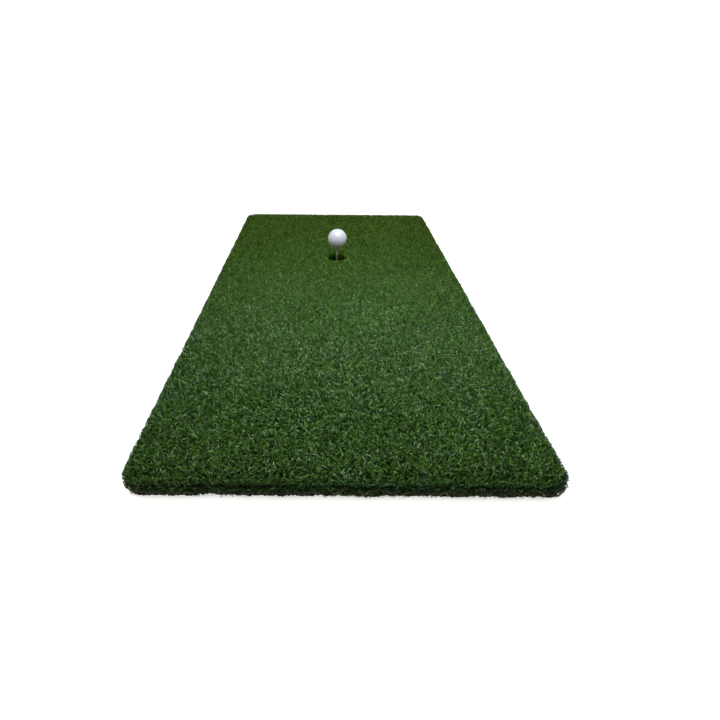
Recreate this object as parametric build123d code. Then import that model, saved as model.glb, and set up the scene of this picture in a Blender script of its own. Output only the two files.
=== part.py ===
from build123d import *
import math
import os

# Golf hitting mat with a wooden tee standing in its tee hole and a ball on the tee.
# Millimetres. +Y runs along the mat towards the tee-hole end, +X across it, +Z up.
# The origin is on the floor, under the middle of the mat.

# Mat outline
MAT_WIDTH = 508.0
MAT_LENGTH = 1016.0
CORNER_RADIUS = 16.0

# Layers, from the floor up
BASE_SHEET_THICKNESS = 1.5
FOAM_THICKNESS = 5.0
COAT_THICKNESS = 1.2
BACKING_THICKNESS = 0.8
PILE_HEIGHT = 21.5

# The pile leans out past the backing all round, and its top edge is rounded
PILE_FLARE = 6.0
PILE_SHOULDER_RADIUS = 6.0

# Tee hole
HOLE_DIAMETER = 42.0
HOLE_CENTRE_Y = 163.0

# Rubber tee holder: a flange under the foam, and a boss that stands in the hole
FLANGE_DIAMETER = 64.0
FLANGE_THICKNESS = 1.5
BOSS_DIAMETER = 41.0
BOSS_TOP_Z = 14.0
BOSS_EDGE_RADIUS = 1.0
HOLDER_FLOOR = 0.7
BORE_LEAD_IN = 0.8

# Wooden tee
TEE_LENGTH = 51.0
TEE_SHAFT_DIAMETER = 4.6
TEE_POINT_LENGTH = 5.0
TEE_POINT_DIAMETER = 1.0
TEE_HEAD_DIAMETER = 12.0
TEE_RIM_WIDTH = 0.6
TEE_RIM_HEIGHT = 1.6
TEE_FLARE_LENGTH = 7.5
TEE_END_GAP = 0.3
TEE_BORE_CLEARANCE = 0.05

# Two-piece golf ball
BALL_DIAMETER = 42.67
BALL_COVER_THICKNESS = 1.7
BALL_SEAT_GAP = 0.15

# Heights worked out from the layers
foam_z = BASE_SHEET_THICKNESS
coat_z = foam_z + FOAM_THICKNESS
backing_z = coat_z + COAT_THICKNESS
pile_z = backing_z + BACKING_THICKNESS
mat_top_z = pile_z + PILE_HEIGHT

# The holder stands on the base sheet, and the tee's point stops just above the bore's end
holder_z = BASE_SHEET_THICKNESS
bore_end_z = holder_z + HOLDER_FLOOR
tee_point_z = bore_end_z + TEE_END_GAP
tee_rim_z = tee_point_z + TEE_LENGTH

# The tee's dish is a sphere round the ball's centre
ball_radius = BALL_DIAMETER / 2
dish_radius = ball_radius + BALL_SEAT_GAP
dish_mouth_radius = TEE_HEAD_DIAMETER / 2 - TEE_RIM_WIDTH
ball_centre_z = tee_rim_z + math.sqrt(dish_radius**2 - dish_mouth_radius**2)

# Coincident solids are avoided by letting cutters run past the faces they cut
CUT_OVERRUN = 5.0


def mat_sheet(bottom_z, thickness):
    """A flat layer with the mat's outline."""
    outline = Location((0, 0, bottom_z)) * RectangleRounded(MAT_WIDTH, MAT_LENGTH, CORNER_RADIUS)
    return extrude(outline, thickness)


def upright_cylinder(diameter, bottom_z, top_z):
    """A cylinder on the tee hole's axis."""
    centre = Location((0, HOLE_CENTRE_Y, bottom_z))
    return extrude(centre * Circle(diameter / 2), top_z - bottom_z)


def hole_cutter(diameter, bottom_z, top_z):
    """The tee hole's space through one layer."""
    return upright_cylinder(diameter, bottom_z - CUT_OVERRUN, top_z + CUT_OVERRUN)


def turned(half_outline):
    """Turn a half outline, drawn in the XZ plane, and stand it on the tee hole's axis."""
    return Location((0, HOLE_CENTRE_Y, 0)) * revolve(make_face(half_outline), Axis.Z)


def base_sheet():
    """Non-slip rubber sheet that lies on the floor. It has no hole, so it closes the tee hole."""
    return mat_sheet(0, BASE_SHEET_THICKNESS)


def foam_pad():
    """Closed-cell foam, with the tee hole and a recess below for the holder's flange."""
    pad = mat_sheet(foam_z, FOAM_THICKNESS)
    pad -= hole_cutter(HOLE_DIAMETER, foam_z, coat_z)
    return pad - upright_cylinder(FLANGE_DIAMETER, foam_z - CUT_OVERRUN, foam_z + FLANGE_THICKNESS)


def backing_coat():
    """Latex coat that locks the tufts into the primary backing."""
    return mat_sheet(coat_z, COAT_THICKNESS) - hole_cutter(HOLE_DIAMETER, coat_z, backing_z)


def primary_backing():
    """Woven sheet that the yarn is tufted through."""
    return mat_sheet(backing_z, BACKING_THICKNESS) - hole_cutter(HOLE_DIAMETER, backing_z, pile_z)


def turf_pile():
    """The space the turf fibres fill: wider at the top, with a rounded top edge and the tee hole."""
    foot = Location((0, 0, pile_z)) * RectangleRounded(MAT_WIDTH, MAT_LENGTH, CORNER_RADIUS)
    flare_angle = math.degrees(math.atan2(PILE_FLARE, PILE_HEIGHT))
    pile = extrude(foot, PILE_HEIGHT, taper=-flare_angle)
    top_edges = pile.edges().group_by(Axis.Z)[-1]
    pile = fillet(top_edges, PILE_SHOULDER_RADIUS)
    return pile - hole_cutter(HOLE_DIAMETER, pile_z, mat_top_z)


def tee_holder():
    """Black rubber puck: a flange held down by the foam, a boss, and a blind bore for the tee."""
    flange = upright_cylinder(FLANGE_DIAMETER, holder_z, holder_z + FLANGE_THICKNESS)
    boss = upright_cylinder(BOSS_DIAMETER, holder_z, BOSS_TOP_Z)
    boss = fillet(boss.edges().group_by(Axis.Z)[-1], BOSS_EDGE_RADIUS)
    bore_diameter = TEE_SHAFT_DIAMETER + 2 * TEE_BORE_CLEARANCE
    bore = upright_cylinder(bore_diameter, bore_end_z, BOSS_TOP_Z + CUT_OVERRUN)
    holder = flange + boss - bore
    mouth_edge = holder.edges().group_by(Axis.Z)[-1].sort_by(SortBy.RADIUS)[0]
    return chamfer(mouth_edge, BORE_LEAD_IN)


def tee():
    """Turned wooden tee: blunt point, straight shaft, flared neck, and a dished head."""
    shaft_radius = TEE_SHAFT_DIAMETER / 2
    head_radius = TEE_HEAD_DIAMETER / 2
    neck_z = tee_rim_z - TEE_RIM_HEIGHT - TEE_FLARE_LENGTH
    rim_foot_z = tee_rim_z - TEE_RIM_HEIGHT
    dish_low_z = ball_centre_z - dish_radius
    point_radius = TEE_POINT_DIAMETER / 2
    dish_half_angle = math.asin(dish_mouth_radius / dish_radius) / 2
    dish_mid = (
        dish_radius * math.sin(dish_half_angle),
        0,
        ball_centre_z - dish_radius * math.cos(dish_half_angle),
    )
    outline = [
        Line((0, 0, tee_point_z), (point_radius, 0, tee_point_z)),
        Line((point_radius, 0, tee_point_z), (shaft_radius, 0, tee_point_z + TEE_POINT_LENGTH)),
        Line((shaft_radius, 0, tee_point_z + TEE_POINT_LENGTH), (shaft_radius, 0, neck_z)),
        TangentArc((shaft_radius, 0, neck_z), (head_radius, 0, rim_foot_z), tangent=(0, 0, 1)),
        Line((head_radius, 0, rim_foot_z), (head_radius, 0, tee_rim_z)),
        Line((head_radius, 0, tee_rim_z), (dish_mouth_radius, 0, tee_rim_z)),
        ThreePointArc((dish_mouth_radius, 0, tee_rim_z), dish_mid, (0, 0, dish_low_z)),
        Line((0, 0, dish_low_z), (0, 0, tee_point_z)),
    ]
    return turned(outline)


def ball_core():
    """Solid rubber core."""
    return Location((0, HOLE_CENTRE_Y, ball_centre_z)) * Sphere(ball_radius - BALL_COVER_THICKNESS)


def ball_cover():
    """Moulded cover, a shell of even thickness round the core."""
    place = Location((0, HOLE_CENTRE_Y, ball_centre_z))
    return place * (Sphere(ball_radius) - Sphere(ball_radius - BALL_COVER_THICKNESS))


NODES = {
    "base_sheet": base_sheet,
    "foam_pad": foam_pad,
    "backing_coat": backing_coat,
    "primary_backing": primary_backing,
    "turf_pile": turf_pile,
    "tee_holder": tee_holder,
    "tee": tee,
    "ball_core": ball_core,
    "ball_cover": ball_cover,
}

os.makedirs("parts", exist_ok=True)
for name, make in NODES.items():
    export_step(make(), f"parts/{name}.step")
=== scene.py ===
import math
from itertools import combinations

import bmesh
import bpy
import numpy as np
from mathutils import Matrix, Vector
from mathutils.geometry import delaunay_2d_cdt


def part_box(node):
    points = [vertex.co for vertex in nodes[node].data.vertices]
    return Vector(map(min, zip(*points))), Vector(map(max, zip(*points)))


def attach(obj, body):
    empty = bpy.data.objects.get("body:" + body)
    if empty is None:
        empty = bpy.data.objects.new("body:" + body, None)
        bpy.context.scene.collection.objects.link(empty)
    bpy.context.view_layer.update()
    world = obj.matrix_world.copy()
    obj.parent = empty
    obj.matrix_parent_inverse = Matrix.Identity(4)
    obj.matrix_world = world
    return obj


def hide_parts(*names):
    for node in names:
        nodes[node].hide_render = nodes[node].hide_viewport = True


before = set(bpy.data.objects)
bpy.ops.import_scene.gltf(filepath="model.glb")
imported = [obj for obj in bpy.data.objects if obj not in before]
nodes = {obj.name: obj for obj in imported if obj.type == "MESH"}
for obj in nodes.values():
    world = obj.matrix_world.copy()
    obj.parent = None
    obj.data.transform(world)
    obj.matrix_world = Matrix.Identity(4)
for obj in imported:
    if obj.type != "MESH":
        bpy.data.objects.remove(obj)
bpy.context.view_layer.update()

rng = np.random.default_rng(20)
MM = 0.001

# The mat's outline, from the backing, and the tee hole's axis, from the holder
_, backing_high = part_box("primary_backing")
pile_low, pile_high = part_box("turf_pile")
holder_low, holder_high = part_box("tee_holder")
_, tee_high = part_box("tee")
HALF_WIDTH = backing_high.x
HALF_LENGTH = backing_high.y
CORNER_RADIUS = 16.0 * MM
HOLE_Y = (holder_low.y + holder_high.y) / 2
HOLE_RADIUS = 21.0 * MM
PILE_FOOT = pile_low.z
PILE_TOP = pile_high.z


# ---------------------------------------------------------------- helpers


def new_material(name):
    """A material with one Principled shader, its node tree, and that shader."""
    material = bpy.data.materials.new(name)
    material.use_nodes = True
    return material, material.node_tree, material.node_tree.nodes["Principled BSDF"]


def add_object(name, data):
    made = bpy.data.objects.new(name, data)
    bpy.context.scene.collection.objects.link(made)
    return made


def add_node(tree, kind, **settings):
    node = tree.nodes.new(kind)
    for key, value in settings.items():
        setattr(node, key, value)
    return node


def ramp(tree, factor, stops):
    """A colour ramp over factor. stops are (position, colour)."""
    node = add_node(tree, "ShaderNodeValToRGB")
    elements = node.color_ramp.elements
    while len(elements) < len(stops):
        elements.new(0.5)
    for element, (position, colour) in zip(elements, stops):
        element.position = position
        element.color = (*colour, 1.0)
    tree.links.new(factor, node.inputs["Fac"])
    return node.outputs["Color"]


def tint(tree, first, second):
    """Multiplies one colour socket by another."""
    node = add_node(tree, "ShaderNodeMix", data_type="RGBA", blend_type="MULTIPLY")
    node.inputs[0].default_value = 1.0
    tree.links.new(first, node.inputs[6])
    tree.links.new(second, node.inputs[7])
    return node.outputs[2]


def maths(tree, operation, first, second=0.0):
    """One maths step on a socket and a number."""
    node = add_node(tree, "ShaderNodeMath", operation=operation)
    tree.links.new(first, node.inputs[0])
    node.inputs[1].default_value = second
    return node.outputs[0]


def noise(tree, vector, scale, detail=3.0, roughness=0.5):
    node = add_node(tree, "ShaderNodeTexNoise")
    node.inputs["Scale"].default_value = scale
    node.inputs["Detail"].default_value = detail
    node.inputs["Roughness"].default_value = roughness
    tree.links.new(vector, node.inputs["Vector"])
    return node.outputs["Fac"]


def object_place(tree, scale=(1.0, 1.0, 1.0)):
    """Object coordinates, stretched by scale."""
    place = add_node(tree, "ShaderNodeTexCoord").outputs["Object"]
    stretch = add_node(tree, "ShaderNodeMapping")
    stretch.inputs["Scale"].default_value = scale
    tree.links.new(place, stretch.inputs["Vector"])
    return stretch.outputs["Vector"]


def add_bump(tree, shader, height, strength, distance):
    bump = add_node(tree, "ShaderNodeBump")
    bump.inputs["Strength"].default_value = strength
    bump.inputs["Distance"].default_value = distance
    tree.links.new(height, bump.inputs["Height"])
    tree.links.new(bump.outputs["Normal"], shader.inputs["Normal"])


# ---------------------------------------------------------------- materials

YARN_TONES = 64  # columns in the fibres' UV map, dark to light
YARN_UV = "OFBake"


def yarn_material():
    """Green turf yarn. The UV map's U is the fibre's own tone, and V runs from its root to its tip and
    carries its painted shade.
    A painted light gradient makes the yarn cooler at the mat's near end and yellower towards the tee hole."""
    material, tree, shader = new_material("turf_yarn")
    uv = add_node(tree, "ShaderNodeUVMap", uv_map=YARN_UV)
    parts = add_node(tree, "ShaderNodeSeparateXYZ")
    tree.links.new(uv.outputs["UV"], parts.inputs["Vector"])
    # The tones are the yarns' own random shades; the lightest is pale and whitish, partly as a painted
    # highlight
    tone = ramp(
        tree,
        parts.outputs["X"],
        [
            (0.0, (0.005, 0.017, 0.002)),
            (0.3, (0.015, 0.044, 0.005)),
            (0.55, (0.050, 0.122, 0.012)),
            (0.8, (0.118, 0.232, 0.042)),
            (1.0, (0.265, 0.395, 0.200)),
        ],
    )
    column = maths(tree, "FLOOR", maths(tree, "MULTIPLY", parts.outputs["X"], YARN_TONES))
    white = add_node(tree, "ShaderNodeTexWhiteNoise", noise_dimensions="1D")
    tree.links.new(column, white.inputs["W"])
    hue = ramp(tree, white.outputs["Value"], [(0.0, (1.03, 1.0, 0.88)), (1.0, (0.95, 1.0, 1.16))])
    place = add_node(tree, "ShaderNodeSeparateXYZ")
    tree.links.new(object_place(tree), place.inputs["Vector"])
    along = maths(tree, "ADD", maths(tree, "DIVIDE", place.outputs["Y"], 2 * HALF_LENGTH), 0.5)
    # Painted light: this colour gradient along the mat, cooler at its near end and yellower towards the far
    # end, stands in for how the light falls there
    drift = ramp(
        tree,
        along,
        [
            (0.0, (1.0, 0.98, 1.30)),
            (0.3, (1.05, 1.02, 1.50)),
            (0.5, (0.93, 0.94, 1.04)),
            (0.68, (0.93, 0.95, 0.72)),
            (1.0, (1.20, 1.16, 0.66)),
        ],
    )
    tinted = tint(tree, tint(tree, tone, hue), drift)
    # Painted shade and light down the pile: brown-olive at the lowest values, the darkest middle depths as
    # painted shade, bluish depths above them as a painted reflection, and tips brighter than the yarn as
    # painted light
    depth = ramp(
        tree,
        parts.outputs["Y"],
        [
            (0.0, (0.95, 0.56, 0.38)),
            (0.3, (0.62, 0.42, 0.26)),
            (0.52, (0.28, 0.25, 0.20)),
            (0.66, (0.43, 0.45, 0.74)),
            (0.82, (0.72, 0.73, 0.74)),
            (1.0, (1.22, 1.16, 0.84)),
        ],
    )
    tree.links.new(tint(tree, tinted, depth), shader.inputs["Base Color"])
    shader.inputs["Roughness"].default_value = 0.32
    shader.inputs["Specular IOR Level"].default_value = 0.08
    return material


def rubber_material(name, dark, light, grain, roughness):
    """Rubber or latex: mottled, with a fine grain."""
    material, tree, shader = new_material(name)
    place = object_place(tree)
    mottle = noise(tree, place, grain * 0.12, 4.0)
    tree.links.new(ramp(tree, mottle, [(0.3, dark), (0.7, light)]), shader.inputs["Base Color"])
    fine = noise(tree, place, grain, 2.0)
    rough = ramp(tree, fine, [(0.3, (roughness - 0.12,) * 3), (0.7, (roughness + 0.1,) * 3)])
    tree.links.new(rough, shader.inputs["Roughness"])
    add_bump(tree, shader, fine, 0.5, 0.4 * MM)
    shader.inputs["Specular IOR Level"].default_value = 0.15
    return material


def foam_material():
    """Closed-cell foam: small round cells."""
    material, tree, shader = new_material("foam")
    cells = add_node(tree, "ShaderNodeTexVoronoi")
    cells.inputs["Scale"].default_value = 900.0
    tree.links.new(object_place(tree), cells.inputs["Vector"])
    distance = cells.outputs["Distance"]
    colour = ramp(tree, distance, [(0.0, (0.006, 0.005, 0.002)), (0.6, (0.017, 0.014, 0.006))])
    tree.links.new(colour, shader.inputs["Base Color"])
    shader.inputs["Roughness"].default_value = 0.9
    shader.inputs["Specular IOR Level"].default_value = 0.1
    add_bump(tree, shader, distance, 0.6, 0.3 * MM)
    return material


def woven_material():
    """Plain weave of flat black tapes, a millimetre wide."""
    material, tree, shader = new_material("woven_backing")
    weave = add_node(tree, "ShaderNodeTexChecker")
    weave.inputs["Scale"].default_value = 1000.0
    weave.inputs["Color1"].default_value = (0.030, 0.028, 0.020, 1.0)
    weave.inputs["Color2"].default_value = (0.014, 0.013, 0.010, 1.0)
    tree.links.new(object_place(tree), weave.inputs["Vector"])
    tree.links.new(weave.outputs["Color"], shader.inputs["Base Color"])
    shader.inputs["Roughness"].default_value = 0.6
    shader.inputs["Specular IOR Level"].default_value = 0.2
    add_bump(tree, shader, weave.outputs["Fac"], 0.5, 0.2 * MM)
    return material


def wood_material():
    """Turned birch: fine grain along the tee, with a painted green cast of light bounced from the turf, and
    painted shade on the shaft where it stands in the hole.
    """
    material, tree, shader = new_material("tee_wood")
    grain = noise(tree, object_place(tree, (1.0, 1.0, 0.06)), 1400.0, 5.0, 0.6)
    # Painted light: the wood's colours carry a green cast of light bounced from the turf
    green_cast_wood = ramp(
        tree, grain, [(0.25, (0.245, 0.275, 0.165)), (0.5, (0.385, 0.43, 0.265)), (0.8, (0.52, 0.58, 0.375))]
    )
    parts = add_node(tree, "ShaderNodeSeparateXYZ")
    tree.links.new(object_place(tree), parts.inputs["Vector"])
    # Painted shade: the shaft darkens below a ragged line low down, where it stands in the shade of the tee
    # hole
    shade_line_noise = maths(tree, "MULTIPLY", noise(tree, object_place(tree), 220.0), 8 * MM)
    raised = add_node(tree, "ShaderNodeMath", operation="ADD")
    tree.links.new(parts.outputs["Z"], raised.inputs[0])
    tree.links.new(shade_line_noise, raised.inputs[1])
    height = maths(tree, "DIVIDE", raised.outputs[0], tee_high.z)
    painted_hole_shade = ramp(tree, height, [(0.715, (0.32, 0.34, 0.26)), (0.78, (1.0, 1.0, 1.0))])
    tree.links.new(tint(tree, green_cast_wood, painted_hole_shade), shader.inputs["Base Color"])
    rough = ramp(tree, grain, [(0.2, (0.55,) * 3), (0.8, (0.40,) * 3)])
    tree.links.new(rough, shader.inputs["Roughness"])
    add_bump(tree, shader, grain, 0.25, 0.2 * MM)
    return material


def ball_material():
    """White moulded cover under a clear coat, with the faintest mottling."""
    material, tree, shader = new_material("ball_cover_plastic")
    place = object_place(tree)
    mottle = noise(tree, place, 160.0, 4.0)
    colour = ramp(tree, mottle, [(0.3, (0.415, 0.42, 0.43)), (0.7, (0.455, 0.46, 0.465))])
    tree.links.new(colour, shader.inputs["Base Color"])
    rough = ramp(tree, noise(tree, place, 500.0), [(0.3, (0.22,) * 3), (0.7, (0.34,) * 3)])
    tree.links.new(rough, shader.inputs["Roughness"])
    shader.inputs["Coat Weight"].default_value = 0.25
    shader.inputs["Coat Roughness"].default_value = 0.12
    return material


# ---------------------------------------------------------------- camera, light and floor

CAMERA_PLACE = Vector((-22.6, -858.6, 427.0)) * MM
CAMERA_PITCH = math.radians(33.99)
CAMERA_HEADING = math.radians(0.20)
CAMERA_ROLL = math.radians(0.54)
CAMERA_LENS = 22.76
CAMERA_SENSOR = 36.0
CAMERA_SHIFT = 0.0446


def add_camera():
    """The camera that was fitted to the photograph's outline of the mat."""
    data = bpy.data.cameras.new("camera")
    data.lens = CAMERA_LENS
    data.sensor_width = CAMERA_SENSOR
    data.shift_x = CAMERA_SHIFT
    data.clip_start = 0.01
    data.clip_end = 200.0
    camera = add_object("camera", data)
    flat, low = math.cos(CAMERA_PITCH), math.sin(CAMERA_PITCH)
    forward = Vector((math.sin(CAMERA_HEADING) * flat, math.cos(CAMERA_HEADING) * flat, -low))
    level = Vector((math.cos(CAMERA_HEADING), -math.sin(CAMERA_HEADING), 0.0))
    upward = level.cross(forward)
    right = level * math.cos(CAMERA_ROLL) + upward * math.sin(CAMERA_ROLL)
    up = upward * math.cos(CAMERA_ROLL) - level * math.sin(CAMERA_ROLL)
    turn = Matrix((right, up, -forward)).transposed()
    camera.matrix_world = Matrix.Translation(CAMERA_PLACE) @ turn.to_4x4()
    bpy.context.scene.camera = camera


SKY_AXIS = (0.0, 0.2, 0.98)  # the brightest part of the dome


def add_world():
    """A soft dome, bright overhead and dim at the horizon. The camera sees it as plain white."""
    world = bpy.data.worlds.new("studio")
    bpy.context.scene.world = world
    world.use_nodes = True
    tree = world.node_tree
    tree.nodes.clear()
    place = add_node(tree, "ShaderNodeTexCoord")
    height = add_node(tree, "ShaderNodeVectorMath", operation="DOT_PRODUCT")
    height.inputs[1].default_value = SKY_AXIS
    tree.links.new(place.outputs["Generated"], height.inputs[0])
    sky = ramp(
        tree,
        height.outputs["Value"],
        [
            (0.0, (0.110, 0.100, 0.065)),
            (0.35, (0.210, 0.195, 0.135)),
            (0.65, (0.54, 0.53, 0.45)),
            (0.9, (1.00, 0.98, 0.90)),
        ],
    )
    dome = add_node(tree, "ShaderNodeBackground")
    tree.links.new(sky, dome.inputs["Color"])
    dome.inputs["Strength"].default_value = 1.65
    white = add_node(tree, "ShaderNodeBackground")
    white.inputs["Color"].default_value = (1.0, 1.0, 1.0, 1.0)
    white.inputs["Strength"].default_value = 1.2
    ray = add_node(tree, "ShaderNodeLightPath")
    mix = add_node(tree, "ShaderNodeMixShader")
    tree.links.new(ray.outputs["Is Camera Ray"], mix.inputs[0])
    tree.links.new(dome.outputs[0], mix.inputs[1])
    tree.links.new(white.outputs[0], mix.inputs[2])
    output = add_node(tree, "ShaderNodeOutputWorld")
    tree.links.new(mix.outputs[0], output.inputs["Surface"])


LAMP_PLACE = (0.05, -0.16, 0.72)
LAMP_SIZE = 0.5
LAMP_SPREAD = math.radians(105)
LAMP_POWER = 3.75
LAMP_COLOUR = (0.87, 0.97, 1.22)


def add_lamp():
    """A soft square lamp over the mat, facing straight down."""
    data = bpy.data.lights.new("overhead", "AREA")
    data.shape = "SQUARE"
    data.size = LAMP_SIZE
    data.spread = LAMP_SPREAD
    data.energy = LAMP_POWER
    data.color = LAMP_COLOUR
    lamp = add_object("overhead", data)
    lamp.location = LAMP_PLACE
    lamp.rotation_euler = Vector((0.0, 0.0, -1.0)).to_track_quat("-Z", "Y").to_euler()
    lamp.visible_camera = False


FLOOR_REACH = 40.0
FLOOR_DROP = 0.1 * MM


def add_floor():
    """A plain pale floor, just under the mat, that lights itself a little so that it stays near white."""
    reach = FLOOR_REACH
    corners = [(-reach, -reach, 0), (reach, -reach, 0), (reach, reach, 0), (-reach, reach, 0)]
    mesh = bpy.data.meshes.new("floor")
    mesh.from_pydata(corners, [], [(0, 1, 2, 3)])
    floor = add_object("floor", mesh)
    floor.location.z = -FLOOR_DROP
    material, _, shader = new_material("floor")
    shader.inputs["Base Color"].default_value = (0.92, 0.94, 1.0, 1.0)
    shader.inputs["Emission Color"].default_value = (1.0, 1.0, 1.0, 1.0)
    shader.inputs["Emission Strength"].default_value = 0.55
    shader.inputs["Roughness"].default_value = 0.9
    shader.inputs["Specular IOR Level"].default_value = 0.0
    mesh.materials.append(material)


add_camera()
add_world()
add_lamp()
add_floor()
bpy.context.scene.view_settings.view_transform = "Standard"


# ---------------------------------------------------------------- turf

# Tufts: stitched rows inside, and even rows close to the mat's edge and round the tee hole
ROW_GAUGE = 3.95 * MM
STITCH = 3.95 * MM
TUFT_JITTER = 1.0 * MM
TUFT_RADIUS = 1.7 * MM
FIBRES_IN_TUFT = 5
RIM_INSETS = (0.8 * MM, 2.3 * MM, 4.0 * MM)
RIM_SPACING = 1.9 * MM
RIM_JITTER = 0.4 * MM
ROWS_TO_RIM = 1.2 * MM

# Fibres: levels are the shares of a fibre's length at which its rings stand
FIBRE_WIDTH = 0.95 * MM
FIBRE_THICKNESS = 0.6 * MM
FIBRE_LENGTH = 25.0 * MM
INNER_LENGTH = (1.0, 0.05)  # shares of the length: the mean and the spread
SKIRT_LENGTH, ARCH_LENGTH = (0.55, 1.0), (0.6, 0.95)  # the least and the most
INNER_LEVELS = np.array([0.0, 0.64, 0.77, 0.89, 1.0])
EDGE_LEVELS = np.array([0.0, 0.26, 0.52, 0.77, 1.0])
EDGE_ZONE = 9.0 * MM
RING_WIDTHS = np.array([0.8, 1.0, 1.0, 0.95, 0.75])
CURL_RADIUS = 1.0 * MM
CURL_TURN = (2.5, 0.5)  # radians from one ring to the next: the mean and the spread
SIDES = 3
LOWEST = 0.2 * MM

# How far a fibre tilts from upright at its root and at its tip, from the least to the most, in degrees
ROOT_TILT, TIP_TILT = (0, 14), (5, 90)
SKIRT_ROOT_TILT, SKIRT_TIP_TILT = (15, 85), (150, 185)
ARCH_ROOT_TILT, ARCH_TIP_TILT = (0, 25), (105, 150)
EDGE_TILT = 9
SWEEP = 75  # the spread of its turn about the upright

# The pile's height: fibres end a little below its top, unevenly, and lower along the mat's edge
TOP_MARGIN = 1.0 * MM
HEIGHT_SPREAD = 0.9 * MM
TUFT_HEIGHT_SPREAD = 0.1 * MM
HIGHEST_OVER = 0.8 * MM
EDGE_DROP = 2.0 * MM
EDGE_HEIGHTS = (0.62, 1.0)

# How far into the turf its edge and its hole are felt, and the gap that fibres keep round the hole
EDGE_FADE = 4.0 * MM
HOLE_FADE = 3.0 * MM
HOLE_GAP = 0.8 * MM
EDGE_LEAN, HOLE_LEAN = 2.2, 1.6  # how strongly the fibres there lean outwards and away from the hole
UNEVEN_EDGE = 3.4 * MM
# how far in from the mat's edge the side fibres get painted shade
SHADED_EDGE = 5.0 * MM

# The pile's side: it flares out above the backing and has a round shoulder
FLARE = 4.4 * MM
SHOULDER = 6.0 * MM
PILE_HEIGHT = PILE_TOP - PILE_FOOT
PRESS = 0.9  # the share of what stands past the side that is pressed back

# How far past the pile's side fibres may stand, from the least to the most, and how many stray
STRAY_SHARE = 0.04
SIDE_SLACK = (-1.9 * MM, 0.6 * MM)
STRAY_SLACK = (1.5 * MM, 5.0 * MM)
SKIRT_SLACK = (0.6 * MM, 3.8 * MM)
SIDE_RAGGEDNESS = 0.7 * MM
SKIRT_RAGGEDNESS = 0.9 * MM

# The skirt: fibres at the very edge that hang down over the layers below, some in an arch
SKIRT_ZONE = 2.2 * MM
SKIRT_SHARE = 0.70
ARCH_SHARE = 0.38
SKIRT_LOW = 0.5 * MM
TUCK = 0.35  # the share of its slack that a hanging fibre keeps at the floor
SPLAY_ON_FLOOR = 0.15
GREEN_SHARE = 0.4

# The cut edge strays from its straight line, by the same in every layer
CUT_WANDER = 0.85 * MM

# Soft noise over the mat, as (size, seed)
LEAN_NOISES = ((0.022, 3), (0.022, 4))
FINE_TONE_NOISE, WIDE_TONE_NOISE = (0.030, 5), (0.16, 6)
SIDE_NOISE = (0.010, 7)
SKIRT_NOISE = (0.018, 8)
CUT_NOISE = (0.035, 11)

# A fibre's tone, from 0 dark to 1 light
MIDDLE_TONE = 0.50
PATCH_TONE = 0.012
TUFT_TONE_SPREAD = 0.02
TONE_SPREAD = 0.24
SKIRT_TONE = (-0.11, 0.15)
# how much the tones near the mat's edge are darkened, as painted shade
RIM_PAINTED_SHADE = 0.36

BANDS = 26


def edge_distance(xy):
    """How far points lie inside the mat's rounded outline, and the outward direction there."""
    half = np.array([HALF_WIDTH, HALF_LENGTH]) - CORNER_RADIUS
    over = np.abs(xy) - half
    corner = np.maximum(over, 0.0)
    reach = np.linalg.norm(corner, axis=1)
    in_corner = (over > 0).all(axis=1)
    distance = np.where(in_corner, CORNER_RADIUS - reach, CORNER_RADIUS - over.max(axis=1))
    straight = np.zeros_like(xy)
    straight[np.arange(len(xy)), over.argmax(axis=1)] = 1.0
    outward = np.where(in_corner[:, None], corner / np.maximum(reach, 1e-9)[:, None], straight)
    return distance, outward * np.sign(xy)


def cut_line(xy):
    """How far the cut edge stands out from its straight line near xy, the same in every layer."""
    return CUT_WANDER * soft_noise(xy, *CUT_NOISE)


def tuft_places():
    """Stitches in rows along the mat, every second row half a stitch on."""
    columns = np.arange(-HALF_WIDTH, HALF_WIDTH, ROW_GAUGE)
    rows = np.arange(-HALF_LENGTH, HALF_LENGTH, STITCH)
    x, y = np.meshgrid(columns, rows, indexing="ij")
    y = y + (np.arange(len(columns)) % 2)[:, None] * STITCH / 2
    xy = np.stack([x.ravel(), y.ravel()], axis=1)
    xy += rng.uniform(-TUFT_JITTER, TUFT_JITTER, xy.shape)
    distance, _ = edge_distance(xy)
    from_hole = np.hypot(xy[:, 0], xy[:, 1] - HOLE_Y) - HOLE_RADIUS
    clear = max(RIM_INSETS) + ROWS_TO_RIM
    return xy[(distance > clear) & (from_hole > clear)]


def rim_places():
    """Tufts in even rows just inside the mat's rounded outline, and in rings round the tee hole."""
    half_x, half_y = HALF_WIDTH - CORNER_RADIUS, HALF_LENGTH - CORNER_RADIUS
    along_x = np.arange(-half_x, half_x, RIM_SPACING)
    along_y = np.arange(-half_y, half_y, RIM_SPACING)
    rows = []
    for inset in RIM_INSETS:
        radius = CORNER_RADIUS - inset
        arc = np.arange(0, math.pi / 2, RIM_SPACING / radius)
        for way in (-1, 1):
            rows.append(np.stack([along_x, np.full(len(along_x), way * (half_y + radius))], axis=1))
            rows.append(np.stack([np.full(len(along_y), way * (half_x + radius)), along_y], axis=1))
            for end in (-1, 1):
                corner = [way * (half_x + radius * np.cos(arc)), end * (half_y + radius * np.sin(arc))]
                rows.append(np.stack(corner, axis=1))
        ring_radius = HOLE_RADIUS + inset
        ring = np.arange(0, 2 * math.pi, RIM_SPACING / ring_radius)
        rows.append(np.stack([ring_radius * np.cos(ring), HOLE_Y + ring_radius * np.sin(ring)], axis=1))
    places = np.concatenate(rows)
    return places + rng.uniform(-RIM_JITTER, RIM_JITTER, places.shape)


NOISE_WAVES = 14


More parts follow.
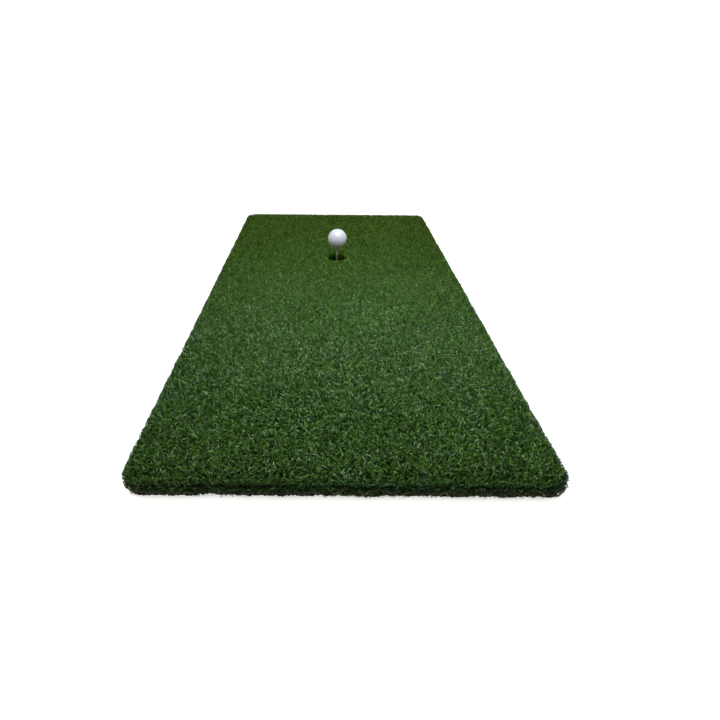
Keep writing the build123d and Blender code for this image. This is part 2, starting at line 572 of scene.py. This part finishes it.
def soft_noise(xy, size, seed):
    """Smooth noise over the mat, about -1 to 1, with features of about size metres."""
    draw = np.random.default_rng(seed)
    total = np.zeros(len(xy))
    for _ in range(NOISE_WAVES):
        angle = draw.uniform(0, 2 * math.pi)
        pitch = 2 * math.pi / (size * draw.uniform(0.7, 1.8))
        phase = draw.uniform(0, 2 * math.pi)
        total += np.sin((xy @ [math.cos(angle), math.sin(angle)]) * pitch + phase)
    return total / math.sqrt(NOISE_WAVES / 2) / 1.5


def fibre_roots(tufts):
    """Each tuft's fibres stand in a small disc and splay apart. Returns roots, directions and tufts."""
    count = len(tufts) * FIBRES_IN_TUFT
    tuft = np.repeat(np.arange(len(tufts)), FIBRES_IN_TUFT)
    step = np.tile(np.arange(FIBRES_IN_TUFT), len(tufts)) * 2 * math.pi / FIBRES_IN_TUFT
    angle = step + rng.uniform(0, 2 * math.pi, len(tufts))[tuft] + rng.normal(0, 0.5, count)
    splay = np.stack([np.cos(angle), np.sin(angle)], axis=1)
    return tufts[tuft] + splay * TUFT_RADIUS * rng.uniform(0.3, 1.0, (count, 1)), splay, tuft


def side_limit(z):
    """How far out the pile may stand past the backing at height z: a flare with a round shoulder."""
    rise = np.clip((z - PILE_FOOT) / PILE_HEIGHT, 0, 1)
    into_shoulder = np.clip((z - (PILE_TOP - SHOULDER)) / SHOULDER, 0, 1)
    return FLARE * np.sqrt(rise) - SHOULDER * (1 - np.sqrt(1 - into_shoulder**2))


def hold_in(points, loose):
    """Presses the pile in at its sides and out of the tee hole. loose is each fibre's slack at the side,
    and it shrinks below the pile's foot, so that what hangs there stays close to the edge."""
    count, rings = points.shape[:2]
    flat = points.reshape(-1, 3)
    slack = np.repeat(loose, rings) * np.clip(TUCK + (1 - TUCK) * flat[:, 2] / PILE_FOOT, TUCK, 1)
    distance, outward = edge_distance(flat[:, :2])
    over = np.maximum(-distance - side_limit(flat[:, 2]) - slack, 0)
    flat[:, :2] -= outward * (over * PRESS)[:, None]
    from_axis = flat[:, :2] - [0.0, HOLE_Y]
    reach = np.linalg.norm(from_axis, axis=1)
    short = np.maximum(HOLE_RADIUS + HOLE_GAP - reach, 0)
    flat[:, :2] += from_axis / np.maximum(reach, 1e-9)[:, None] * short[:, None]
    return flat.reshape(count, rings, 3)


def tilts(limits, count):
    """Random tilts between two limits in degrees, in radians."""
    return np.radians(rng.uniform(*limits, count))


def fibre_bends(edge, near_hole, in_skirt_zone):
    """How each fibre bends: its tilt at the root and at the tip, its length, and whether it belongs to the
    skirt and to the skirt's arch. edge and near_hole run from 0 inside the turf to 1 at its rims."""
    count = len(edge)
    first = tilts(ROOT_TILT, count) + edge * math.radians(EDGE_TILT)
    last = tilts(TIP_TILT, count) * (1 - 0.4 * edge)
    last = np.where(near_hole > 0.3, last * 0.35, last)
    length = FIBRE_LENGTH * rng.normal(*INNER_LENGTH, count)

    skirt = in_skirt_zone & (rng.random(count) < SKIRT_SHARE)
    first[skirt] = tilts(SKIRT_ROOT_TILT, skirt.sum())
    last[skirt] = tilts(SKIRT_TIP_TILT, skirt.sum())
    length[skirt] *= rng.uniform(*SKIRT_LENGTH, skirt.sum())

    arch = skirt & (rng.random(count) < ARCH_SHARE)
    first[arch] = tilts(ARCH_ROOT_TILT, arch.sum())
    last[arch] = tilts(ARCH_TIP_TILT, arch.sum())
    length[arch] = FIBRE_LENGTH * rng.uniform(*ARCH_LENGTH, arch.sum())
    return first, last, length, skirt, arch


def curl(points, levels):
    """Winds each fibre round its own line, one way or the other, wider towards its tip."""
    count, rings = levels.shape
    way = rng.choice([-1.0, 1.0], (count, 1))
    start = rng.uniform(0, 2 * math.pi, (count, 1))
    phase = start + way * np.cumsum(rng.normal(*CURL_TURN, (count, rings)), axis=1)
    radius = CURL_RADIUS * rng.uniform(0.6, 1.4, (count, 1)) * np.minimum(levels * 1.8, 1)
    points[:, :, 0] += radius * np.cos(phase)
    points[:, :, 1] += radius * np.sin(phase)
    upper = levels > 0.3
    points[:, :, 2] += 0.6 * radius * np.sin(phase + rng.uniform(0, 6, (count, 1))) * upper


def set_heights(points, distance, edge, tuft_height, skirt):
    """Stretches each fibre to the pile's height, a little unevenly, and less along the mat's edge."""
    count = len(points)
    height = PILE_HEIGHT - TOP_MARGIN + tuft_height + rng.normal(0, HEIGHT_SPREAD, count) - EDGE_DROP * edge
    height = np.minimum(height, PILE_HEIGHT + HIGHEST_OVER)
    height = np.where(distance < UNEVEN_EDGE, height * rng.uniform(*EDGE_HEIGHTS, count), height)
    rise = points[:, :, 2].max(axis=1) - PILE_FOOT
    scale = np.clip(height / np.maximum(rise, 1 * MM), 0.7, 1.4)
    scale[skirt] = 1.0
    points[:, :, 2] = PILE_FOOT + (points[:, :, 2] - PILE_FOOT) * scale[:, None]


def edge_slack(roots, skirt):
    """How far past the pile's side each fibre may stand. A few stray, and the skirt stands out most."""
    count = len(roots)
    loose = rng.uniform(*SIDE_SLACK, count) + SIDE_RAGGEDNESS * soft_noise(roots, *SIDE_NOISE)
    cut = cut_line(roots)
    loose += cut
    stray = rng.random(count) < STRAY_SHARE
    loose[stray] += rng.uniform(*STRAY_SLACK, stray.sum())
    ragged = SKIRT_RAGGEDNESS * soft_noise(roots[skirt], *SKIRT_NOISE)
    loose[skirt] = rng.uniform(*SKIRT_SLACK, skirt.sum()) + ragged + cut[skirt]
    return loose


def fibre_paths(roots, splay, lean, tuft_height):
    """Centre points of every fibre: it rises, bends over more and more, and is curled. Returns them with
    each fibre's ring levels, and which fibres belong to the skirt and to its arch."""
    count, rings = len(roots), len(INNER_LEVELS)
    distance, outward = edge_distance(roots)
    edge = np.exp(-np.maximum(distance, 0) / EDGE_FADE)
    levels = np.where((distance < EDGE_ZONE)[:, None], EDGE_LEVELS, INNER_LEVELS)
    hole = roots - [0.0, HOLE_Y]
    from_hole = np.linalg.norm(hole, axis=1)
    near_hole = np.exp(-np.maximum(from_hole - HOLE_RADIUS, 0) / HOLE_FADE)

    lead = splay * rng.uniform(0.2, 1.0, (count, 1)) + lean + outward * (edge * EDGE_LEAN)[:, None]
    lead += hole / from_hole[:, None] * (near_hole * HOLE_LEAN)[:, None]
    azimuth = np.arctan2(lead[:, 1], lead[:, 0]) + rng.normal(0, 0.5, count) * edge
    sweep = np.radians(rng.normal(0, SWEEP, count)) * (1 - edge)
    first, last, length, skirt, arch = fibre_bends(edge, near_hole, distance < SKIRT_ZONE)
    straight_out = np.arctan2(outward[skirt, 1], outward[skirt, 0])
    azimuth[skirt] = straight_out + rng.normal(0, 0.5, skirt.sum())
    sweep[skirt] *= 0.3
    bend = np.where(skirt, 1.5, 2.3)

    points = np.zeros((count, rings, 3))
    points[:, 0, :2] = roots
    points[:, 0, 2] = PILE_FOOT
    for k in range(1, rings):
        middle = (levels[:, k] + levels[:, k - 1]) / 2
        tilt = first + (last - first) * middle**bend
        turn = azimuth + sweep * middle**2
        step = length * (levels[:, k] - levels[:, k - 1])
        flat = np.sin(tilt)
        heading = np.stack([flat * np.cos(turn), flat * np.sin(turn), np.cos(tilt)], axis=1)
        points[:, k] = points[:, k - 1] + heading * step[:, None]
    curl(points, levels)
    set_heights(points, distance, edge, tuft_height, skirt)

    points = hold_in(points, edge_slack(roots, skirt))
    points[:, 0, :2] = roots
    below = np.clip(SKIRT_LOW - points[:, :, 2], 0, 4 * MM)
    points[:, :, :2] += outward[:, None, :] * (SPLAY_ON_FLOOR * below)[:, :, None]
    points[:, :, 2] = np.maximum(points[:, :, 2], SKIRT_LOW)
    return points, levels, skirt, arch


def fibre_frames(points, turn):
    """Two directions across each fibre at each ring, carried along it without twisting."""
    along = np.gradient(points, axis=1)
    along /= np.maximum(np.linalg.norm(along, axis=2, keepdims=True), 1e-9)
    side = np.empty_like(points)
    previous = np.stack([np.cos(turn), np.sin(turn), np.zeros(len(turn))], axis=1)
    for k in range(points.shape[1]):
        previous = previous - along[:, k] * (previous * along[:, k]).sum(axis=1, keepdims=True)
        previous /= np.maximum(np.linalg.norm(previous, axis=1, keepdims=True), 1e-9)
        side[:, k] = previous
    return side, np.cross(along, side)


def fibre_mesh(name, points, shade, turn, tone, width):
    """Closed three-sided yarns along points, all in one mesh."""
    count, rings = points.shape[:2]
    side, normal = fibre_frames(points, turn)
    angles = 2 * math.pi * np.arange(SIDES) / SIDES
    half = (width[:, None] * RING_WIDTHS[None, :] / 2)[:, :, None, None]
    flatness = FIBRE_THICKNESS / FIBRE_WIDTH
    offset = (
        side[:, :, None, :] * np.cos(angles)[None, None, :, None]
        + normal[:, :, None, :] * (np.sin(angles) * flatness)[None, None, :, None]
    )
    vertices = (points[:, :, None, :] + offset * half).reshape(-1, 3)
    vertices[:, 2] = np.maximum(vertices[:, 2], LOWEST)

    ring = np.arange(rings - 1)[:, None] * SIDES
    here = np.arange(SIDES)[None, :]
    there = (here + 1) % SIDES
    low, high = ring, ring + SIDES
    quads = np.stack([low + here, low + there, high + there, high + here], axis=2).reshape(-1, 4)
    caps = np.concatenate([np.arange(SIDES)[::-1], np.arange(SIDES) + (rings - 1) * SIDES])
    shape = np.concatenate([quads.ravel(), caps])
    loops = ((np.arange(count) * rings * SIDES)[:, None] + shape[None, :]).ravel()
    sizes = np.tile(np.array([4] * len(quads) + [SIDES, SIDES]), count)
    starts = np.concatenate([[0], np.cumsum(sizes)[:-1]])

    mesh = bpy.data.meshes.new(name)
    mesh.vertices.add(len(vertices))
    mesh.vertices.foreach_set("co", vertices.astype(np.float32).ravel())
    mesh.loops.add(len(loops))
    mesh.loops.foreach_set("vertex_index", loops.astype(np.int32))
    mesh.polygons.add(len(sizes))
    mesh.polygons.foreach_set("loop_start", starts.astype(np.int32))
    mesh.polygons.foreach_set("use_smooth", np.ones(len(sizes), bool))

    # U: the fibre's tone column. V: its painted shade, from the dark root to the light tip.
    column = np.array([0.25, 0.75, 0.5])
    u = np.broadcast_to((tone[:, None, None] + column[None, None, :]) / YARN_TONES, (count, rings, SIDES))
    v = np.broadcast_to(shade[:, :, None], (count, rings, SIDES))
    uv = np.stack([u.ravel(), v.ravel()], axis=1)
    layer = mesh.uv_layers.new(name=YARN_UV)
    layer.data.foreach_set("uv", uv[loops].astype(np.float32).ravel())
    mesh.update()
    mesh.validate()
    return mesh


def fibre_tones(tufts, tuft, roots, distance, skirt):
    """Each fibre's tone column: patches over the mat, a little from its tuft, and most its own, with painted
    shade on fibres near the mat's edge.
    """
    fine, wide = soft_noise(roots, *FINE_TONE_NOISE), soft_noise(roots, *WIDE_TONE_NOISE)
    patch = PATCH_TONE * fine + PATCH_TONE * wide
    shared = rng.normal(0, TUFT_TONE_SPREAD, len(tufts))[tuft]
    tone = MIDDLE_TONE + patch + shared + rng.normal(0, TONE_SPREAD, len(roots))
    tone[skirt] += rng.normal(*SKIRT_TONE, skirt.sum())
    # Painted shade: fibres near the mat's edge get darker tones, for the shade on its sides
    outer = np.exp(-np.maximum(distance, 0) / (3.5 * MM))
    tone -= outer * rng.uniform(0, RIM_PAINTED_SHADE, len(roots))
    return np.floor(np.clip(tone, 0, 0.999) * YARN_TONES)


def fibre_shades(points, levels, roots, distance, skirt, arch):
    """The yarn's painted shade, 0 to 1, at every ring: dark roots, a dark skirt with green in it, and light
    tips, with painted highlights along the upper rings, painted shade low on the mat's sides and a lighter
    shade on the tee hole's walls.
    """
    shade = np.where(levels < 0.3, 0.25 * (1 - levels), levels)
    # Painted highlights and shade: the upper rings go lighter or darker at random, for glints on the fibres'
    # bends
    shade[:, 2:] = np.clip(shade[:, 2:] + rng.normal(0, 0.15, shade[:, 2:].shape), 0.55, 1.0)
    shade[skirt] = 0.30 * levels[skirt]
    green = skirt & (arch | (rng.random(len(roots)) < GREEN_SHARE))
    shade[green] = 0.50 + 0.36 * levels[green]
    # Painted shade: fibres on the mat's sides get darker towards the floor, for the shade under the pile's
    # overhang
    rise = np.clip((points[:, :, 2] - PILE_FOOT) / PILE_HEIGHT, 0, 1)
    side_shade_mask = (distance < SHADED_EDGE) & ~skirt
    shade[side_shade_mask] = np.minimum(shade[side_shade_mask], 0.60 + 0.4 * rise[side_shade_mask])
    # Painted light: fibres round the tee hole get a lighter, flatter shade, so the hole's walls look less
    # dark
    walls = np.hypot(roots[:, 0], roots[:, 1] - HOLE_Y) < HOLE_RADIUS + HOLE_FADE
    shade[walls] = 0.70 + 0.3 * levels[walls]
    return shade


def add_turf():
    """The whole pile, in bands across the mat that each hold a like number of fibres."""
    yarn = yarn_material()
    tufts = np.concatenate([tuft_places(), rim_places()])
    roots, splay, tuft = fibre_roots(tufts)
    drift = np.stack([soft_noise(tufts, *kind) for kind in LEAN_NOISES], axis=1)
    inside, _ = edge_distance(tufts)
    calm = np.clip(inside / (12 * MM), 0.15, 1)[:, None]
    lean = ((0.08 * drift + rng.normal(0, 0.05, tufts.shape)) * calm)[tuft]
    tuft_height = rng.normal(0, TUFT_HEIGHT_SPREAD, len(tufts))[tuft]
    points, levels, skirt, arch = fibre_paths(roots, splay, lean, tuft_height)
    distance, _ = edge_distance(roots)
    tone = fibre_tones(tufts, tuft, roots, distance, skirt)
    shade = fibre_shades(points, levels, roots, distance, skirt, arch)
    width = FIBRE_WIDTH * rng.uniform(0.75, 1.25, len(roots))
    turn = rng.uniform(0, 2 * math.pi, len(roots))
    order = np.argsort(roots[:, 1], kind="stable")
    for number, chosen in enumerate(np.array_split(order, BANDS), start=1):
        name = f"turf_band_{number:02d}"
        mesh = fibre_mesh(name, points[chosen], shade[chosen], turn[chosen], tone[chosen], width[chosen])
        mesh.materials.append(yarn)
        band = add_object(name, mesh)
        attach(band, "mat")
        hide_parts("turf_pile")


add_turf()


# ---------------------------------------------------------------- sheets under the turf

EDGE_STEP = 1.5 * MM
FINE_CUT_SIZE = 0.006
CORNER_POINTS = 18
HOLE_SIDES = 120
SHEET_GRID = 20.0 * MM
CLEAR_OF_EDGES = 3 * MM
FLANGE_THICKNESS = 1.5 * MM
SLIVER = 0.01 * MM
MERGE_WITHIN = 0.001 * MM
WORN_RUBBER = 0.3 * MM
WORN_WEAVE = 0.1 * MM

# Each sheet's cut: how rough it is, and its seed
BASE_CUT = (1.2 * MM, 21)
FOAM_CUT = (0.25 * MM, 22)
COAT_CUT = (0.3 * MM, 23)
WEAVE_CUT = (0.35 * MM, 24)


def mat_outline():
    """Points round the mat's rounded outline, anticlockwise, and the outward direction at each."""
    half_x, half_y = HALF_WIDTH - CORNER_RADIUS, HALF_LENGTH - CORNER_RADIUS
    points, outward = [], []
    centres = [(half_x, half_y), (-half_x, half_y), (-half_x, -half_y), (half_x, -half_y)]
    for turn, (x, y) in enumerate(centres):
        start = turn * math.pi / 2
        arc = start + np.linspace(0, math.pi / 2, CORNER_POINTS)
        normals = np.stack([np.cos(arc), np.sin(arc)], axis=1)
        points.append(np.array([x, y]) + CORNER_RADIUS * normals)
        outward.append(normals)
        run = 2 * (half_x if turn % 2 == 0 else half_y)
        steps = np.arange(1, int(run / EDGE_STEP)) * EDGE_STEP
        along = np.array([-math.sin(start + math.pi / 2), math.cos(start + math.pi / 2)])
        points.append(points[-1][-1] + along * steps[:, None])
        outward.append(np.repeat(normals[-1:], len(steps), axis=0))
    return np.concatenate(points), np.concatenate(outward)


def sheet_cap(outer, hole, z, upward):
    """A flat face between the outer outline and the round hole, if there is one, meshed finely."""
    grid_x = np.arange(-HALF_WIDTH + SHEET_GRID / 2, HALF_WIDTH, SHEET_GRID)
    grid_y = np.arange(-HALF_LENGTH + SHEET_GRID / 2, HALF_LENGTH, SHEET_GRID)
    inner = np.stack(np.meshgrid(grid_x, grid_y), axis=2).reshape(-1, 2)
    distance, _ = edge_distance(inner)
    hole_reach = np.hypot(hole[0, 0], hole[0, 1] - HOLE_Y) if len(hole) else 0.0
    from_axis = np.hypot(inner[:, 0], inner[:, 1] - HOLE_Y)
    inner = inner[(distance > CLEAR_OF_EDGES) & (from_axis > hole_reach + CLEAR_OF_EDGES)]
    flat = np.concatenate([outer, hole, inner])
    loops = [np.arange(len(outer)), len(outer) + np.arange(len(hole))]
    edges = [(int(a), int(b)) for loop in loops for a, b in zip(loop, np.roll(loop, -1))]
    places, _, faces, *_ = delaunay_2d_cdt([Vector(p) for p in flat.tolist()], edges, [], 1, 1e-7)
    places = np.array([tuple(p) for p in places])
    faces = np.array(faces)
    from_axis = np.hypot(places[:, 0], places[:, 1] - HOLE_Y)
    faces = faces[from_axis[faces].max(axis=1) > hole_reach + SLIVER]
    vertices = np.column_stack([places, np.full(len(places), z)])
    return vertices, faces if upward else faces[:, ::-1]


def edge_rings(edge, roughness, seed):
    """The rings of points round a sheet's edge. They share one wander, and each has its own roughness."""
    outline, outward = mat_outline()
    draw = np.random.default_rng(seed)
    wander = cut_line(outline)
    rings = []
    for inset, _ in edge:
        nicks = draw.normal(0, 0.4, len(outline))
        fine = roughness * (0.6 * soft_noise(outline, FINE_CUT_SIZE, seed) + nicks)
        rings.append(outline + outward * (wander + fine - inset)[:, None])
    return rings


def hole_rings(hole):
    """The rings of points round a sheet's tee hole."""
    turn = np.linspace(0, 2 * math.pi, HOLE_SIDES, endpoint=False)
    circle = np.stack([np.cos(turn), np.sin(turn)], axis=1)
    return [circle * radius + [0.0, HOLE_Y] for radius, _ in hole]


def add_sheet(name, node, edge, hole, cut, material):
    """One layer of the mat, cut a little unevenly, as a closed mesh. edge and hole list its profiles from
    the bottom up, as (inset, z) and (radius, z), and cut is how rough it is and its seed."""
    outer, inner = edge_rings(edge, *cut), hole_rings(hole)
    vertices, faces, used = [], [], 0
    walls = [(outer, [z for _, z in edge], False), (inner, [z for _, z in hole], True)]
    for loops, heights, inside in walls:
        for k, (loop, z) in enumerate(zip(loops, heights)):
            vertices.append(np.column_stack([loop, np.full(len(loop), z)]))
            if k:
                here = np.arange(len(loop))
                there = np.roll(here, -1)
                low, high = used - len(loop), used
                quads = np.stack([low + here, low + there, high + there, high + here], axis=1)
                faces.extend((quads[:, ::-1] if inside else quads).tolist())
            used += len(loop)
    for k, upward in ((0, False), (-1, True)):
        inner_loop = inner[k] if hole else np.zeros((0, 2))
        cap, triangles = sheet_cap(outer[k], inner_loop, edge[k][1], upward)
        vertices.append(cap)
        faces.extend((triangles + used).tolist())
        used += len(cap)

    mesh = bpy.data.meshes.new(name)
    mesh.from_pydata(np.concatenate(vertices).tolist(), [], faces)
    shape = bmesh.new()
    shape.from_mesh(mesh)
    bmesh.ops.remove_doubles(shape, verts=shape.verts, dist=MERGE_WITHIN)
    shape.to_mesh(mesh)
    shape.free()
    mesh.materials.append(material)
    piece = add_object(name, mesh)
    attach(piece, "mat")
    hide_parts(node)
    return piece


def plain_profile(node, pressed):
    """A sheet's edge from bottom to top, its two corners worn round by pressed."""
    low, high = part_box(node)
    return [(pressed, low.z), (0.0, low.z + pressed), (0.0, high.z - pressed), (pressed, high.z)]


def plain_hole(node):
    """The tee hole through a sheet, from bottom to top."""
    low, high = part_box(node)
    return [(HOLE_RADIUS, low.z), (HOLE_RADIUS, high.z)]


def foam_edge():
    """The foam's cut edge, worn at its corners and drawn in at the middle."""
    low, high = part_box("foam_pad")
    lower = [(0.3 * MM, low.z), (0.0, low.z + 0.5 * MM), (0.35 * MM, low.z + 1.8 * MM)]
    upper = [(0.45 * MM, low.z + 3.2 * MM), (0.05 * MM, high.z - 0.5 * MM), (0.3 * MM, high.z)]
    return lower + upper


def foam_hole():
    """The foam's hole: a recess below for the tee holder's flange, and the tee hole above it."""
    low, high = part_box("foam_pad")
    top = low.z + FLANGE_THICKNESS
    return [(holder_high.x, low.z), (holder_high.x, top), (HOLE_RADIUS, top), (HOLE_RADIUS, high.z)]


# ---------------------------------------------------------------- golf ball


def icosphere(divisions):
    """Vertices and triangles of a unit icosahedron with each edge cut into divisions."""
    golden = (1 + math.sqrt(5)) / 2
    corners = [(-1, golden, 0), (1, golden, 0), (-1, -golden, 0), (1, -golden, 0)]
    corners += [(0, -1, golden), (0, 1, golden), (0, -1, -golden), (0, 1, -golden)]
    corners += [(golden, 0, -1), (golden, 0, 1), (-golden, 0, -1), (-golden, 0, 1)]
    corners = np.array(corners) / math.hypot(1, golden)
    gap = np.linalg.norm(corners[:, None] - corners[None], axis=2)
    joined = (gap > 0.1) & (gap < 1.1)
    found, points, triangles = {}, [], []

    def index(point):
        """The number of the vertex at point, which is added if it is new."""
        point = point / np.linalg.norm(point)
        key = tuple(np.round(point, 5) + 0.0)
        if key not in found:
            found[key] = len(points)
            points.append(point)
        return found[key]

    for a, b, c in combinations(range(len(corners)), 3):
        if not (joined[a, b] and joined[b, c] and joined[a, c]):
            continue
        face = [corners[a], corners[b], corners[c]]
        if np.dot(np.cross(face[1] - face[0], face[2] - face[0]), face[0]) < 0:
            face[1], face[2] = face[2], face[1]
        grid = {}
        for i in range(divisions + 1):
            for j in range(divisions + 1 - i):
                k = divisions - i - j
                grid[i, j] = index(face[0] * k + face[1] * i + face[2] * j)
        for i in range(divisions):
            for j in range(divisions - i):
                triangles.append((grid[i, j], grid[i + 1, j], grid[i, j + 1]))
                if i + j < divisions - 1:
                    triangles.append((grid[i + 1, j], grid[i + 1, j + 1], grid[i, j + 1]))
    return np.array(points), np.array(triangles)


OUTSIDE_DIVISIONS = 84
INSIDE_DIVISIONS = 20
DIMPLE_DIVISIONS = 6
DIMPLE_RADIUS = 1.95 * MM
DIMPLE_DEPTH = 0.24 * MM


def add_ball():
    """The cover: a dimpled outside, 362 dimples in an even pattern, and a plain inside round the core."""
    low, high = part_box("ball_cover")
    centre = np.array((low + high) / 2)
    radius = (high.z - low.z) / 2
    core_low, core_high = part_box("ball_core")
    inner_radius = (core_high.z - core_low.z) / 2
    outside, outside_faces = icosphere(OUTSIDE_DIVISIONS)
    dimples, _ = icosphere(DIMPLE_DIVISIONS)
    gap = np.arccos(np.clip(outside @ dimples.T, -1, 1)).min(axis=1) * radius
    inward = np.clip(1 - (gap / DIMPLE_RADIUS) ** 2, 0, 1)
    depth = DIMPLE_DEPTH * inward * (1 - 0.35 * (1 - inward) ** 3)
    inside, inside_faces = icosphere(INSIDE_DIVISIONS)
    vertices = np.concatenate([outside * (radius - depth)[:, None], inside * inner_radius]) + centre
    faces = np.concatenate([outside_faces, inside_faces[:, ::-1] + len(outside)])
    mesh = bpy.data.meshes.new("dimpled_cover")
    mesh.from_pydata(vertices.tolist(), [], faces.tolist())
    mesh.polygons.foreach_set("use_smooth", np.ones(len(faces), bool))
    mesh.materials.append(ball_material())
    ball = add_object("dimpled_cover", mesh)
    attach(ball, "ball")
    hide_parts("ball_cover")


add_ball()


# ---------------------------------------------------------------- finishes on the CAD parts


def finish_node(node, material):
    """Gives a CAD node's mesh one material."""
    mesh = nodes[node].data
    mesh.materials.clear()
    mesh.materials.append(material)


holder_rubber = rubber_material("holder_rubber", (0.010, 0.010, 0.010), (0.022, 0.022, 0.021), 1200.0, 0.5)
core_rubber = rubber_material("ball_core_rubber", (0.02, 0.07, 0.22), (0.04, 0.11, 0.30), 600.0, 0.6)
finish_node("tee_holder", holder_rubber)
finish_node("ball_core", core_rubber)
finish_node("tee", wood_material())


# ---------------------------------------------------------------- the four sheets

base_rubber = rubber_material("base_rubber", (0.010, 0.008, 0.003), (0.021, 0.017, 0.006), 900.0, 0.85)
latex = rubber_material("latex_coat", (0.011, 0.009, 0.003), (0.024, 0.019, 0.006), 700.0, 0.85)
base_edge = plain_profile("base_sheet", WORN_RUBBER)
coat_edge = plain_profile("backing_coat", WORN_RUBBER)
weave_edge = plain_profile("primary_backing", WORN_WEAVE)
coat_hole, weave_hole = plain_hole("backing_coat"), plain_hole("primary_backing")
base = add_sheet("base_mat", "base_sheet", base_edge, [], BASE_CUT, base_rubber)
foam = add_sheet("foam_layer", "foam_pad", foam_edge(), foam_hole(), FOAM_CUT, foam_material())
coat = add_sheet("latex_layer", "backing_coat", coat_edge, coat_hole, COAT_CUT, latex)
weave = add_sheet("woven_sheet", "primary_backing", weave_edge, weave_hole, WEAVE_CUT, woven_material())
